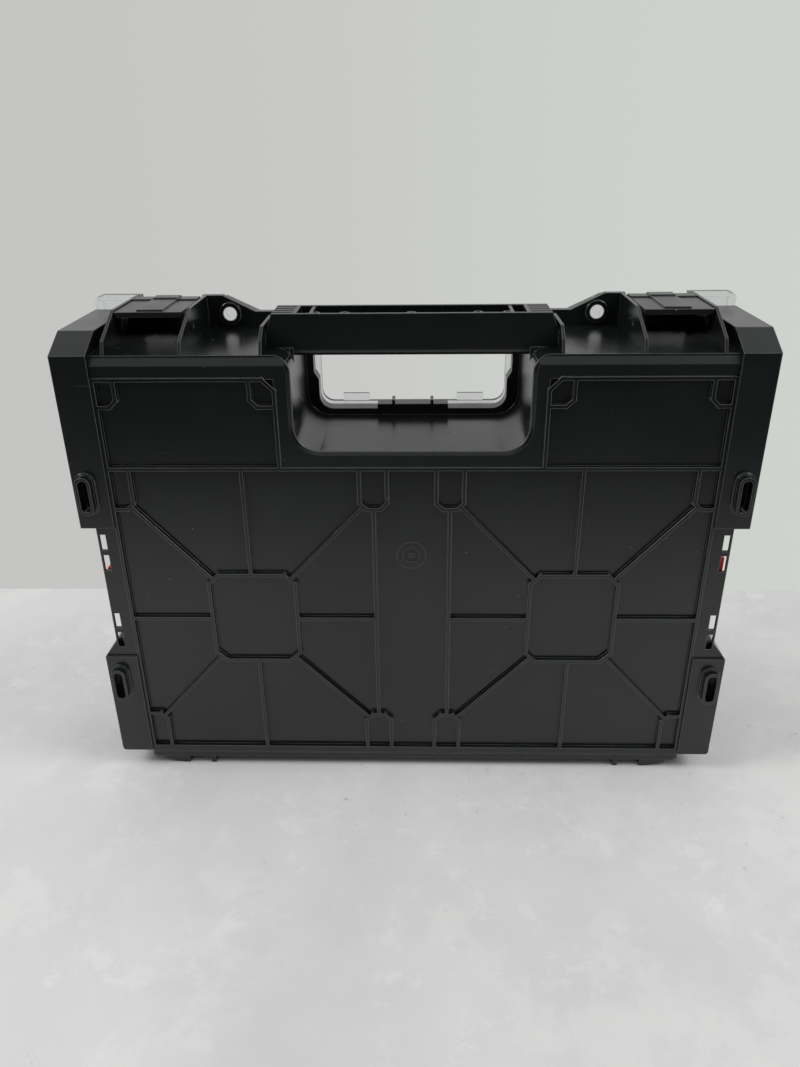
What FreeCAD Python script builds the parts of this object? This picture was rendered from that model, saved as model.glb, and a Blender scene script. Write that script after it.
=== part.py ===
# A stackable case for tools and small parts, standing on its hinge edge with the handle up.
# The black tray is one moulding: ribbed bottom panel, side bumpers, stacking pegs, fixed handle.
# A clear lid closes its open side, hinged at the foot and held by two latches beside the handle.
# X runs across the case, Y from the ribbed panel to the lid, Z up from the floor. Millimetres.
import FreeCAD, Part
import math
import os
import Sketcher

doc = FreeCAD.newDocument("case")
sheet = doc.addObject("Spreadsheet::Sheet", "Sizes")

SIZES = [
    # whole case
    ("case_width", 500.0),            # across both bumpers
    ("case_depth", 115.0),            # from the rib tops to the lid's outer face
    ("case_top_z", 383.0),            # gussets, raised rim and lid corners
    ("wall", 2.8),                    # moulded wall of the tray
    ("seam_gap", 0.3),                # between separate pieces
    ("running_gap", 0.05),            # radial clearance of a pin in its hole
    ("overrun", 2.0),                 # how far a cut runs past the face that it opens
    # tray
    ("bumper_reach", 24.0),           # from the tray's side to the bumper's
    ("tray_foot_z", 7.4),
    ("foot_wall_z", 12.4),            # outside of the wall at the hinge edge
    ("foot_step_y", 2.0),
    ("foot_rib_pitch", 43.0),
    ("shelf_drop", 24.8),             # from the top down to the outside of the wall at the handle
    ("lid_depth", 15.5),              # from the lid's outer face to its seam with the tray
    ("rim_reach", 20.0),
    ("front_rim_thick", 5.5),
    # ribbed panel
    ("panel_inset", 2.7),             # from the tray's side to the centre of the outermost rib
    ("panel_foot_z", 15.2),
    ("rib_depth", 3.6),
    ("rib_top_width", 2.7),
    ("rib_root_width", 3.3),
    ("bottom_rib_z", 19.4),
    ("middle_rib_drop", 13.5),        # below the recess
    ("top_rib_drop", 16.4),           # below the shelf
    ("inner_rib_chamfer", 8.0),
    ("octagon_width", 67.6),
    ("octagon_height", 78.4),
    ("octagon_chamfer", 7.8),
    ("edge_box_width", 15.8),
    ("head_box_height", 32.3),
    ("foot_box_height", 35.1),
    ("outer_panel_box_width", 14.5),
    ("inner_panel_box_width", 17.5),
    ("panel_box_height", 20.0),
    ("box_chamfer", 5.2),
    ("surround_y", 0.8),              # plain face round the handle recess and above the top rib
    ("gate_x", -0.5),
    ("gate_ring_radius", 11.0),
    ("gate_ring_depth", 0.7),
    ("gate_pit_radius", 6.2),
    ("gate_pit_depth", 1.8),
    ("gate_pip_radius", 1.9),
    ("gate_pip_height", 1.4),
    # ledge above the top rib
    ("ledge_nose_drop", 6.7),
    ("ledge_slope_depth", 4.5),
    # bumpers and side strips
    ("bumper_face_y", -1.6),
    ("bumper_overlap", 1.7),          # over the front of the tray's side
    ("bumper_rim_wall", 4.5),         # inner wall of a bumper's hollow
    ("bumper_nose_rise", 1.1),        # above the shelf
    ("bumper_top_rise", 13.6),
    ("bumper_slope_depth", 22.0),
    ("lower_bumper_foot_z", 16.8),
    ("shoulder_rise", 14.2),
    ("bumper_corner_radius", 3.0),
    ("strip_reach", 13.4),            # from the tray's side
    ("strip_y", 0.5),
    ("slot_reach", 9.8),
    ("slot_width", 5.2),
    ("slot_height", 13.6),
    # stacking pegs
    ("peg_inset", 9.8),               # from the bumper's side to the peg's middle
    ("peg_reach", 8.3),
    ("peg_width", 11.4),
    ("peg_height", 30.2),
    ("peg_hole_width", 7.2),
    ("peg_hole_height", 25.0),
    ("peg_step_width", 14.8),
    ("peg_step_height", 33.2),
    ("peg_step_reach", 2.8),
    # handle recess
    ("recess_drop", 69.5),            # below the shelf
    ("recess_corner_radius", 18.0),
    ("recess_flare_radius", 12.0),
    ("recess_mouth_depth", 1.7),      # of the slope round the recess's front edge
    ("cavity_chamfer", 5.0),
    ("lip_depth", 11.8),              # from the recess to the seam
    ("lip_rise", 5.3),                # above the foot of the recess
    ("lip_kink_low_rise", 29.3),
    ("lip_kink_high_rise", 35.3),
    ("lip_corner_radius", 11.0),
    ("stop_block_half_width", 28.5),
    ("stop_block_rise", 8.9),
    ("stop_nub_x", 15.5),
    ("stop_nub_width", 2.4),
    ("stop_nub_height", 3.2),
    # handle
    ("handle_y", 25.0),
    ("handle_thick", 32.4),
    ("handle_shoulder_rise", 10.3),   # above the shelf
    ("handle_foot_drop", 6.3),
    ("handle_top_rise", 23.8),
    ("handle_edge_radius", 5.0),
    ("handle_channel_wall", 2.6),
    ("handle_web_thick", 2.2),
    ("handle_boss_radius", 3.2),
    ("handle_boss_drop", 0.4),
    ("handle_boss_inset", 3.4),
    ("handle_bore_radius", 2.0),
    ("handle_bore_depth", 8.0),
    ("grip_groove_width", 3.0),
    ("grip_groove_depth", 2.0),
    ("grip_groove_pitch", 7.0),
    # raised rim between handle and latch
    ("rim_low_rise", 12.4),           # above the shelf
    ("rim_latch_rise", 8.8),
    ("stud_rise", 11.0),
    ("stud_radius", 5.1),
    ("stud_reach", 8.0),
    ("collar_width", 3.1),            # of the raised ring round the stud
    ("collar_reach", 2.5),
    ("stud_dimple_radius", 2.6),
    ("stud_dimple_depth", 1.2),
    # gussets
    ("gusset_thick", 2.2),
    ("gusset_foot_y", 4.5),
    ("gusset_knee_y", 8.0),
    ("gusset_knee_rise", 9.2),
    ("inner_gusset_slope_y", 43.0),
    ("outer_gusset_slope_y", 38.0),
    ("handle_gusset_slope_y", 18.0),
    ("handle_gusset_rise", 16.8),
    # latches
    ("latch_near_y", 34.0),
    ("latch_corner_radius", 2.5),
    ("latch_thick", 3.8),
    ("latch_top_drop", 1.0),          # below the top of the case
    ("latch_lip_start", 19.5),        # before the seam
    ("latch_lip_rise", 0.9),
    ("latch_lip_end", 8.5),
    ("latch_tip_drop", 4.6),          # below the top of the latch
    ("latch_end_inset", 1.0),         # behind the lid's outer face
    ("latch_hook_thick", 4.6),
    ("latch_pivot_y", 46.0),
    ("latch_pivot_drop", 11.2),
    ("latch_ear_radius", 4.6),
    ("latch_ear_thick", 3.0),
    ("latch_ear_flank", 1.9),
    ("latch_ear_foot", 14.0),
    ("latch_trunnion_radius", 2.2),
    ("latch_band_rise", 1.1),
    ("latch_band_margin", 3.8),       # from the front edge to the raised band
    ("latch_rib_thick", 2.0),
    ("latch_rib_depth", 3.4),
    # lid
    ("lid_inset", 0.5),
    ("lid_foot_z", 9.0),
    ("lid_wall", 2.6),
    ("lid_top_drop", 2.0),            # of the outer corners
    ("lid_hump_drop", 3.4),           # of the humps behind the studs
    ("lid_low_drop", 2.8),            # below the low part of the rim
    ("lid_latch_rise", 12.6),
    ("lid_corner_radius", 2.5),
    ("lid_recess_rise", 4.7),
    ("lid_recess_radius", 10.0),
    ("lid_window_depth", 1.2),
    ("lid_window_foot_z", 26.0),
    ("lid_window_gap", 14.0),
    ("lid_window_inset", 27.5),
    ("lid_rib_thick", 1.6),
    ("lid_rib_height", 12.0),
    ("lid_tab_width", 21.5),
    ("lid_tab_height", 6.0),
    ("socket_wall", 2.0),
    ("socket_gap", 0.8),
    # seal
    ("seal_width", 3.6),
    ("seal_thick", 3.0),
    # hinge
    ("hinge_offset", 1.0),            # from the seam to the hinge's axis
    ("hinge_z", 4.0),
    ("hinge_radius", 4.0),
    ("hinge_pin_radius", 1.25),
    ("hinge_pin_overhang", 0.8),
    ("hinge_rib_thick", 4.0),
    ("hinge_rib_pitch", 22.6),
    ("hinge_notch_gap", 0.5),
    ("hinge_rib_y", 3.0),
    ("fairing_rise", 3.6),
    ("fairing_depth", 16.0),
    # side locks
    ("rail_reach", 5.4),
    ("rail_head", 2.4),
    ("rail_y", 17.0),
    ("rail_stem_width", 4.0),
    ("rail_head_width", 9.0),
    ("lock_near_y", 5.0),
    ("lock_far_y", 26.6),
    ("lock_reach", 11.7),
    ("lock_height", 39.4),
    ("lock_ridge_reach", 1.6),
    ("lock_ridge_thick", 3.0),
    ("lock_ridge_pitch", 7.0),
    # removable cups
    ("bin_wall", 1.5),
    ("bin_drop", 3.9),                # from the seam down to the mouth of a cup
    ("bin_radius", 9.0),
    ("bin_gap", 0.5),
]

for row, (name, number) in enumerate(SIZES, start=1):
    sheet.set(f"A{row}", name)
    sheet.set(f"B{row}", str(number))
    sheet.setAlias(f"B{row}", name)
doc.recompute()

X_AXIS = FreeCAD.Vector(1, 0, 0)
Y_AXIS = FreeCAD.Vector(0, 1, 0)
Z_AXIS = FreeCAD.Vector(0, 0, 1)
TOLERANCE = 1e-4
MOUTH_SLOPE = 1.75    # how far the slope round the recess spreads for each length of its depth
GROOVE_SHARES = (-1.5, -0.5, 0.5, 1.5)    # places of the handle's end grooves, in pitches


class Size:
    """A length together with the expression that works it out from the sheet."""

    def __init__(self, number, text):
        self.number = number
        self.text = text

    def __add__(self, other):
        other = as_size(other)
        return Size(self.number + other.number, f"({self.text} + {other.text})")

    def __sub__(self, other):
        other = as_size(other)
        return Size(self.number - other.number, f"({self.text} - {other.text})")

    def __mul__(self, factor):
        return Size(self.number * factor, f"({self.text} * {float(factor)})")

    def __truediv__(self, divisor):
        return Size(self.number / divisor, f"({self.text} / {float(divisor)})")

    def __neg__(self):
        return Size(-self.number, f"(-{self.text})")


def as_size(value):
    return value if isinstance(value, Size) else Size(float(value), repr(float(value)))


class Sizes:
    """Every alias of the sheet as an attribute."""


S = Sizes()
for name, number in SIZES:
    setattr(S, name, Size(number, f"Sizes.{name}"))

ZERO = as_size(0)

# Places across the case, as shares of its width
WIDTH_SHARES = [
    ("centre_rib_x", 0.0568),
    ("field_rib_x", 0.2496),
    ("inner_rib_x", 0.1922),
    ("centre_box_inner_x", 0.0364),
    ("centre_box_outer_x", 0.0772),
    ("recess_half_width", 0.168),
    ("lip_half_width", 0.1568),
    ("lip_lower_half_width", 0.1496),
    ("handle_half_width", 0.2064),
    ("handle_top_half_width", 0.1968),
    ("handle_end_x", 0.162),
    ("handle_web_x", 0.14),
    ("handle_middle_boss_x", 0.094),
    ("handle_outer_boss_x", 0.1352),
    ("rim_low_end_x", 0.245),
    ("rim_high_start_x", 0.295),
    ("rim_high_end_x", 0.326),
    ("stud_x", 0.284),
    ("inner_gusset_x", 0.3188),
    ("outer_gusset_x", 0.4268),
    ("latch_inner_x", 0.3276),
    ("latch_outer_x", 0.426),
    ("latch_band_inner_x", 0.3566),
    ("latch_band_outer_x", 0.3944),
    ("lid_corner_x", 0.4312),
    ("lid_recess_half_width", 0.1506),
    ("lid_tab_x", 0.0944),
    ("hinge_inner_x", 0.344),
    ("fairing_end_x", 0.432),
]

# Places up the case, as shares of its height
HEIGHT_SHARES = [
    ("cross_rib_z", 0.3864),
    ("gate_z", 0.5308),
    ("upper_bumper_foot_z", 0.5963),
    ("lower_bumper_top_z", 0.294),
    ("slot_1_foot_z", 0.5441),
    ("slot_2_foot_z", 0.4987),
    ("slot_3_foot_z", 0.3627),
    ("slot_4_foot_z", 0.3164),
    ("upper_peg_z", 0.6702),
    ("lower_peg_z", 0.2305),
    ("lid_window_top_z", 0.6997),
    ("rail_foot_z", 0.3629),
    ("rail_top_z", 0.5405),
    ("lock_left_foot_z", 0.3969),
    ("lock_right_foot_z", 0.4217),
]

for name, share in WIDTH_SHARES:
    setattr(S, name, S.case_width * share)
for name, share in HEIGHT_SHARES:
    setattr(S, name, S.case_top_z * share)

S.tray_width = S.case_width - S.bumper_reach * 2
S.rim_width = S.tray_width + S.rim_reach * 2
S.panel_width = S.tray_width - S.panel_inset * 2
S.lid_width = S.case_width - S.lid_inset * 2
S.edge_box_x = S.panel_width / 2 - S.edge_box_width
S.bumper_inner_x = S.tray_width / 2 - S.bumper_overlap
S.strip_outer_x = S.tray_width / 2 + S.strip_reach
S.slot_x = S.tray_width / 2 + S.slot_reach
S.lock_outer_x = S.tray_width / 2 + S.lock_reach
S.peg_x = S.case_width / 2 - S.peg_inset
S.lid_window_side_x = S.lid_width / 2 - S.lid_window_inset
S.rim_y = S.case_depth - S.lid_depth
S.hinge_y = S.rim_y + S.hinge_offset
S.lip_y = S.rim_y - S.lip_depth
S.recess_mouth_y = S.surround_y + S.recess_mouth_depth
S.latch_lip_y = S.rim_y - S.latch_lip_start
S.latch_lip_end_y = S.rim_y - S.latch_lip_end
S.latch_end_y = S.case_depth - S.latch_end_inset
S.shelf_z = S.case_top_z - S.shelf_drop
S.top_rib_z = S.shelf_z - S.top_rib_drop
S.ledge_nose_z = S.shelf_z - S.ledge_nose_drop
S.upper_bumper_nose_z = S.shelf_z + S.bumper_nose_rise
S.upper_bumper_top_z = S.shelf_z + S.bumper_top_rise
S.recess_foot_z = S.shelf_z - S.recess_drop
S.middle_rib_z = S.recess_foot_z - S.middle_rib_drop
S.lip_foot_z = S.recess_foot_z + S.lip_rise
S.lip_kink_low_z = S.recess_foot_z + S.lip_kink_low_rise
S.lip_kink_high_z = S.recess_foot_z + S.lip_kink_high_rise
S.stop_block_top_z = S.recess_foot_z + S.stop_block_rise
S.lid_recess_foot_z = S.recess_foot_z + S.lid_recess_rise
S.handle_shoulder_z = S.shelf_z + S.handle_shoulder_rise
S.handle_foot_z = S.shelf_z - S.handle_foot_drop
S.handle_top_z = S.shelf_z + S.handle_top_rise
S.handle_channel_foot_z = S.shelf_z + S.wall
S.handle_boss_top_z = S.handle_top_z - S.handle_boss_drop
S.rim_low_z = S.shelf_z + S.rim_low_rise
S.rim_latch_z = S.shelf_z + S.rim_latch_rise
S.stud_z = S.shelf_z + S.stud_rise
S.gusset_knee_z = S.shelf_z + S.gusset_knee_rise
S.handle_gusset_top_z = S.shelf_z + S.handle_gusset_rise
S.lid_latch_z = S.shelf_z + S.lid_latch_rise
S.latch_top_z = S.case_top_z - S.latch_top_drop
S.latch_tip_z = S.latch_top_z - S.latch_tip_drop
S.latch_pivot_z = S.latch_top_z - S.latch_pivot_drop


def length_of(run, rise):
    return Size(math.hypot(run.number, rise.number), f"hypot({run.text}; {rise.text})")


def angle_of(run, rise):
    degrees = math.degrees(math.atan2(rise.number, run.number))
    return Size(degrees, f"atan2({rise.text}; {run.text})")


def bind(item, values):
    """Tie each property of the item to the expression of its size."""
    for prop, value in values.items():
        item.setExpression(prop, as_size(value).text)


def place(item, x, y, z, rotation=None):
    spot = [as_size(value) for value in (x, y, z)]
    base = FreeCAD.Vector(*[value.number for value in spot])
    item.Placement = FreeCAD.Placement(base, rotation or FreeCAD.Rotation())
    bind(item, {f"Placement.Base.{axis}": value for axis, value in zip("xyz", spot)})


def block(name, x, y, z):
    """A box between the two ends given for each direction."""
    item = doc.addObject("Part::Box", name)
    bind(item, {"Length": x[1] - x[0], "Width": y[1] - y[0], "Height": z[1] - z[0]})
    place(item, x[0], y[0], z[0])
    return item


ROD_TURNS = {
    "X": FreeCAD.Rotation(Y_AXIS, 90),
    "Y": FreeCAD.Rotation(X_AXIS, -90),
    "Z": FreeCAD.Rotation(),
}


def rod(name, axis, centre, radius, ends):
    """A cylinder along one axis; the centre gives its other two coordinates in order."""
    item = doc.addObject("Part::Cylinder", name)
    bind(item, {"Radius": radius, "Height": ends[1] - ends[0]})
    spots = {
        "X": (ends[0], centre[0], centre[1]),
        "Y": (centre[0], ends[0], centre[1]),
        "Z": (centre[0], centre[1], ends[0]),
    }
    place(item, *spots[axis], ROD_TURNS[axis])
    return item


def draw(sketch, points):
    """Close a loop of lines through the points, each tied to the sheet by both coordinates."""
    points = [(as_size(a), as_size(b)) for a, b in points]
    corners = [FreeCAD.Vector(a.number, b.number, 0) for a, b in points]
    count = len(points)
    for i in range(count):
        sketch.addGeometry(Part.LineSegment(corners[i], corners[(i + 1) % count]), False)
    for i in range(count):
        sketch.addConstraint(Sketcher.Constraint("Coincident", i, 2, (i + 1) % count, 1))
    for i, pair in enumerate(points):
        for kind, value in zip(("DistanceX", "DistanceY"), pair):
            index = sketch.addConstraint(Sketcher.Constraint(kind, -1, 1, i, 1, value.number))
            sketch.setExpression(f"Constraints[{index}]", value.text)


PLANE_TURNS = {
    "XZ": FreeCAD.Rotation(X_AXIS, 90),
    "YZ": FreeCAD.Rotation(FreeCAD.Vector(1, 1, 1), 120),
}
PLANE_NORMALS = {"XZ": Y_AXIS, "YZ": X_AXIS}


def slab(name, plane, points, ends):
    """An outline in the XZ or YZ plane, drawn out between two ends along its third direction."""
    sketch = doc.addObject("Sketcher::SketchObject", name + "_outline")
    draw(sketch, points)
    spot = (ZERO, ends[0], ZERO) if plane == "XZ" else (ends[0], ZERO, ZERO)
    place(sketch, *spot, PLANE_TURNS[plane])
    item = doc.addObject("Part::Extrusion", name)
    item.Base = sketch
    item.DirMode = "Custom"
    item.Dir = PLANE_NORMALS[plane]
    item.Solid = True
    bind(item, {"LengthFwd": ends[1] - ends[0]})
    return item


def join(name, items):
    item = doc.addObject("Part::MultiFuse", name)
    item.Shapes = items
    return item


def cut(name, base, tools):
    item = doc.addObject("Part::Cut", name)
    item.Base = base
    item.Tool = tools[0] if len(tools) == 1 else join(name + "_tools", tools)
    return item


def overlap(name, base, tool):
    item = doc.addObject("Part::Common", name)
    item.Base = base
    item.Tool = tool
    return item


def mirrored(source):
    """The reflection of the source in the middle plane of the case."""
    item = doc.addObject("Part::Mirroring", source.Name + "_mirror")
    item.Source = source
    item.Normal = X_AXIS
    return item


def both(item):
    return [item, mirrored(item)]


def close(value, target):
    return abs(value - target.number) < TOLERANCE


def edges_along(shape, direction, wanted):
    """The numbers of the straight edges along a direction whose middle passes the test."""
    numbers = []
    for number, edge in enumerate(shape.Edges, start=1):
        if isinstance(edge.Curve, Part.Line):
            along = edge.tangentAt(edge.FirstParameter).cross(direction).Length < TOLERANCE
            middle = edge.valueAt((edge.FirstParameter + edge.LastParameter) / 2)
            if along and wanted(middle):
                numbers.append(number)
    return numbers


def rounded(name, source, radius, direction, wanted):
    """Round the edges along a direction whose middle passes the test."""
    doc.recompute()
    item = doc.addObject("Part::Fillet", name)
    item.Base = source
    item.Edges = [(number, radius.number, radius.number)
                  for number in edges_along(source.Shape, direction, wanted)]
    return item


def taper(name, ends, near, far):
    """A block along Y whose stretches of X and Z differ between its near and far end."""
    (x, z), (far_x, far_z) = near, far
    item = doc.addObject("Part::Wedge", name)
    bind(item, {
        "Ymin": ends[0], "Xmin": x[0], "Xmax": x[1], "Zmin": z[0], "Zmax": z[1],
        "Ymax": ends[1], "X2min": far_x[0], "X2max": far_x[1], "Z2min": far_z[0], "Z2max": far_z[1]})
    return item


def cone(name, centre, radii, ends):
    """A cone along Y with the radii of its near and far end."""
    item = doc.addObject("Part::Cone", name)
    bind(item, {"Radius1": radii[0], "Radius2": radii[1], "Height": ends[1] - ends[0]})
    place(item, centre[0], ends[0], centre[1], ROD_TURNS["Y"])
    return item


def rib(name, start, end):
    """A drafted rib between two points of the panel, from its top at Y zero into the floor."""
    run, rise = end[0] - start[0], end[1] - start[1]
    reach = length_of(run, rise)
    top, root = S.rib_top_width / 2, S.rib_root_width / 2
    item = taper(name, (ZERO, S.rib_depth + S.wall / 2),
                 ((-top, reach + top), (-top, top)), ((-root, reach + root), (-root, root)))
    turn = angle_of(run, rise)
    place(item, start[0], ZERO, start[1], FreeCAD.Rotation(FreeCAD.Vector(0, -1, 0), turn.number))
    bind(item, {"Placement.Rotation.Angle": turn})
    return item


def chain(name, points, closed=False):
    """Ribs from each point to the next."""
    ends = points[1:] + (points[:1] if closed else [])
    return [rib(f"{name}_{i}", a, b) for i, (a, b) in enumerate(zip(points, ends), start=1)]


def stadium(name, x, z, width, height, ends):
    """An upright oval prism along Y."""
    radius = width / 2
    half_run = (height - width) / 2
    return join(name, [
        rod(name + "_head", "Y", (x, z + half_run), radius, ends),
        rod(name + "_foot", "Y", (x, z - half_run), radius, ends),
        block(name + "_middle", (x - radius, x + radius), ends, (z - half_run, z + half_run))])


def tray_outline(grow):
    """The edge of the tray's cavity, with the notch for the handle recess, moved outward."""
    side = S.tray_width / 2 - S.wall + grow
    foot = S.foot_wall_z + S.wall - grow
    top = S.shelf_z - S.wall + grow
    notch = S.recess_half_width + S.wall - grow
    notch_foot = S.recess_foot_z - S.wall + grow
    bend = S.cavity_chamfer
    right = [(side, foot), (side, top), (notch + bend, top), (notch, top - bend), (notch, notch_foot)]
    return right + [(-x, z) for x, z in reversed(right)]


# Tray, right half

def octagon_field():
    """The ribs of the big field: octagon, corner boxes, and the ribs that join them."""
    edge = S.panel_width / 2
    low, middle = S.bottom_rib_z, S.middle_rib_z
    field, cross = S.field_rib_x, S.cross_rib_z
    left, right = field - S.octagon_width / 2, field + S.octagon_width / 2
    foot, head = cross - S.octagon_height / 2, cross + S.octagon_height / 2
    cut_off = S.octagon_chamfer
    ribs = chain("octagon", [
        (left + cut_off, head), (right - cut_off, head),
        (right, head - cut_off), (right, foot + cut_off),
        (right - cut_off, foot), (left + cut_off, foot),
        (left, foot + cut_off), (left, head - cut_off)], closed=True)
    ribs += chain("field_head", [(field, head), (field, middle)])
    ribs += chain("field_foot", [(field, low), (field, foot)])
    ribs += chain("cross_inner", [(S.centre_rib_x, cross), (left, cross)])
    ribs += chain("cross_outer", [(right, cross), (edge, cross)])
    ribs += chain("centre_rib", [(S.centre_rib_x, low + S.foot_box_height),
                                 (S.centre_rib_x, middle - S.head_box_height)])
    inner, outer = S.centre_box_inner_x, S.centre_box_outer_x
    chamfer, half = S.box_chamfer, S.box_chamfer / 2
    bend_x = S.edge_box_x + chamfer
    for part, start, height, corner_z, step in (
            ("head", middle, S.head_box_height, head - cut_off / 2, -1),
            ("foot", low, S.foot_box_height, foot + cut_off / 2, 1)):
        end = start + height * step
        bend = end - chamfer * step
        slant = end - half * step
        ribs += chain(f"centre_box_{part}", [
            (inner, start), (inner, bend), (inner + chamfer, end),
            (outer - chamfer, end), (outer, bend), (outer, start)])
        ribs += chain(f"edge_box_{part}", [
            (S.edge_box_x, start), (S.edge_box_x, bend), (bend_x, end), (edge, end)])
        ribs += chain(f"diagonal_inner_{part}", [
            (outer - half, slant), (left + cut_off / 2, corner_z)])
        ribs += chain(f"diagonal_outer_{part}", [
            (S.edge_box_x + half, slant), (right - cut_off / 2, corner_z)])
    return ribs


def upper_panel():
    """The ribs beside the handle recess: a frame with a small box in both top corners."""
    edge, inner = S.panel_width / 2, S.inner_rib_x
    top, notch, chamfer = S.top_rib_z, S.inner_rib_chamfer, S.box_chamfer
    ribs = chain("edge_rib", [(edge, S.bottom_rib_z), (edge, top)])
    ribs += chain("inner_frame", [
        (inner, S.middle_rib_z), (inner, top - notch), (inner + notch, top), (edge, top)])
    low = top - S.panel_box_height
    near, far = inner + S.inner_panel_box_width, edge - S.outer_panel_box_width
    ribs += chain("panel_box_inner", [
        (near, top), (near, low + chamfer), (near - chamfer, low), (inner, low)])
    ribs += chain("panel_box_outer", [
        (far, top), (far, low + chamfer), (far + chamfer, low), (edge, low)])
    return ribs


def gusset(name, x, slope_y, top_z, end_y):
    """An upright web on the shelf that rises steeply, then gently, towards the lid."""
    outline = [
        (S.gusset_foot_y, S.shelf_z), (S.gusset_knee_y, S.gusset_knee_z), (slope_y, top_z),
        (end_y, top_z), (end_y, S.shelf_z)]
    return slab(name, "YZ", outline, (x, x + S.gusset_thick))


def hinge_ribs():
    """The X ends of the two hinge ribs."""
    inner, outer = S.hinge_inner_x, S.hinge_inner_x + S.hinge_rib_pitch
    return [(inner, inner + S.hinge_rib_thick), (outer, outer + S.hinge_rib_thick)]


def foot_parts():
    """Ribs under the hinge wall; two of them reach the floor and carry the hinge lugs."""
    root = S.foot_wall_z + S.wall / 2
    side = S.tray_width / 2
    parts = [block("foot_side", (side - S.wall, side), (S.rib_depth, S.rim_y), (S.tray_foot_z, root))]
    for number in (1, 2, 3):
        middle = S.foot_rib_pitch * number
        parts.append(block(f"foot_rib_{number}", (middle - S.wall / 2, middle + S.wall / 2),
                           (S.rib_depth, S.rim_y), (S.tray_foot_z, root)))
    knuckle = (S.hinge_y, S.hinge_z)
    for number, ends in enumerate(hinge_ribs(), start=1):
        parts.append(block(f"hinge_rib_{number}", ends, (S.hinge_rib_y, S.rim_y), (ZERO, root)))
        parts.append(block(f"hinge_neck_{number}", ends, (S.hinge_y - S.hinge_radius, S.hinge_y),
                           (S.hinge_z - S.hinge_radius, S.hinge_z + S.hinge_radius)))
        parts.append(rod(f"hinge_lug_{number}", "X", knuckle, S.hinge_radius, ends))
    outer = hinge_ribs()[1][1]
    fairing = [(outer, ZERO), (S.fairing_end_x, S.fairing_rise), (S.fairing_end_x, root), (outer, root)]
    parts.append(slab("foot_fairing", "XZ", fairing, (S.hinge_rib_y, S.hinge_rib_y + S.fairing_depth)))
    return parts


def rail_sizes(gap):
    """The lock rail's section, or with a gap the slot round it: stem and head in X and Y."""
    wall = S.tray_width / 2
    face = wall + S.rail_reach
    half_stem, half_head = S.rail_stem_width / 2 + gap, S.rail_head_width / 2 + gap
    stem = (wall, face + gap), (S.rail_y - half_stem, S.rail_y + half_stem)
    head = (face - S.rail_head - gap, face + gap), (S.rail_y - half_head, S.rail_y + half_head)
    return stem, head


def make_lock_rail():
    """The T rail on the tray's right side that a side lock slides on."""
    run = (S.rail_foot_z, S.rail_top_z)
    return join("lock_rail_right", [block(f"lock_rail_{part}", x, y, run)
                                    for part, (x, y) in zip(("stem", "head"), rail_sizes(ZERO))])


def right_half():
    return join("right_half", octagon_field() + upper_panel() + foot_parts())


# What is cut out of the tray, right half

def hinge_cuts():
    (inner, inner_end), (outer, outer_end) = hinge_ribs()
    reach = S.hinge_radius + S.hinge_notch_gap
    notch = block("hinge_notch", (inner_end, outer), (S.hinge_y - reach, S.hinge_y),
                  (-S.overrun, S.hinge_z + reach))
    hole = rod("hinge_hole", "X", (S.hinge_y, S.hinge_z), S.hinge_pin_radius + S.running_gap,
               (inner - S.overrun, outer_end + S.overrun))
    return [notch, hole]


def recess_flare():
    """What is taken off in front of the handle where the recess meets the shelf: a round corner."""
    radius, edge = S.recess_flare_radius, S.recess_half_width
    ends = (-S.overrun, S.handle_y)
    corner = block("flare_corner", (edge - S.overrun, edge + radius), ends,
                   (S.shelf_z - radius, S.shelf_z + S.overrun))
    return cut("recess_flare", corner,
               [rod("flare_keep", "Y", (edge + radius, S.shelf_z - radius), radius, ends)])


def recess_mouth():
    """What is taken off for the slope round the recess's front edge: sides, foot and corners."""
    edge, foot, ends = S.recess_half_width, S.recess_foot_z, (-S.overrun, S.recess_mouth_y)
    grow = (S.recess_mouth_y + S.overrun) * MOUTH_SLOPE
    bend, flare = S.recess_corner_radius, S.recess_flare_radius
    up, middle = (foot + bend, S.shelf_z - flare), (ZERO, edge - bend)
    side = taper("mouth_side", ends, ((ZERO, edge + grow), up), ((ZERO, edge), up))
    low = taper("mouth_foot", ends, (middle, (foot - grow, foot + bend)), (middle, (foot, foot + bend)))
    corner = cone("mouth_corner", (edge - bend, foot + bend), (bend + grow, bend), ends)
    head = block("mouth_head", (ZERO, edge + flare), ends, (S.shelf_z - flare, S.shelf_z + S.overrun))
    keep = cone("mouth_keep", (edge + flare, S.shelf_z - flare), (flare - grow, flare), ends)
    return [side, low, corner, cut("mouth_flare", head, [keep])]


def bumper_seat():
    """The front of the tray's side, which the side bumper reaches over with its face."""
    return block("bumper_seat", (S.bumper_inner_x, S.tray_width / 2), (-S.overrun, S.rib_depth),
                 (S.lower_bumper_foot_z, S.upper_bumper_top_z + S.overrun))


def right_cuts():
    return join("right_cuts", hinge_cuts() + recess_mouth() + [bumper_seat(), recess_flare()])


# Tray, across the middle

def recess_slot(name, half_width, foot_z, radius, ends):
    """A slot that is open at the top and round in its lower corners."""
    raw = block(name + "_raw", (-half_width, half_width), ends, (foot_z, S.case_top_z + S.overrun))
    return rounded(name, raw, radius, Y_AXIS, lambda point: close(point.z, foot_z))


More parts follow.
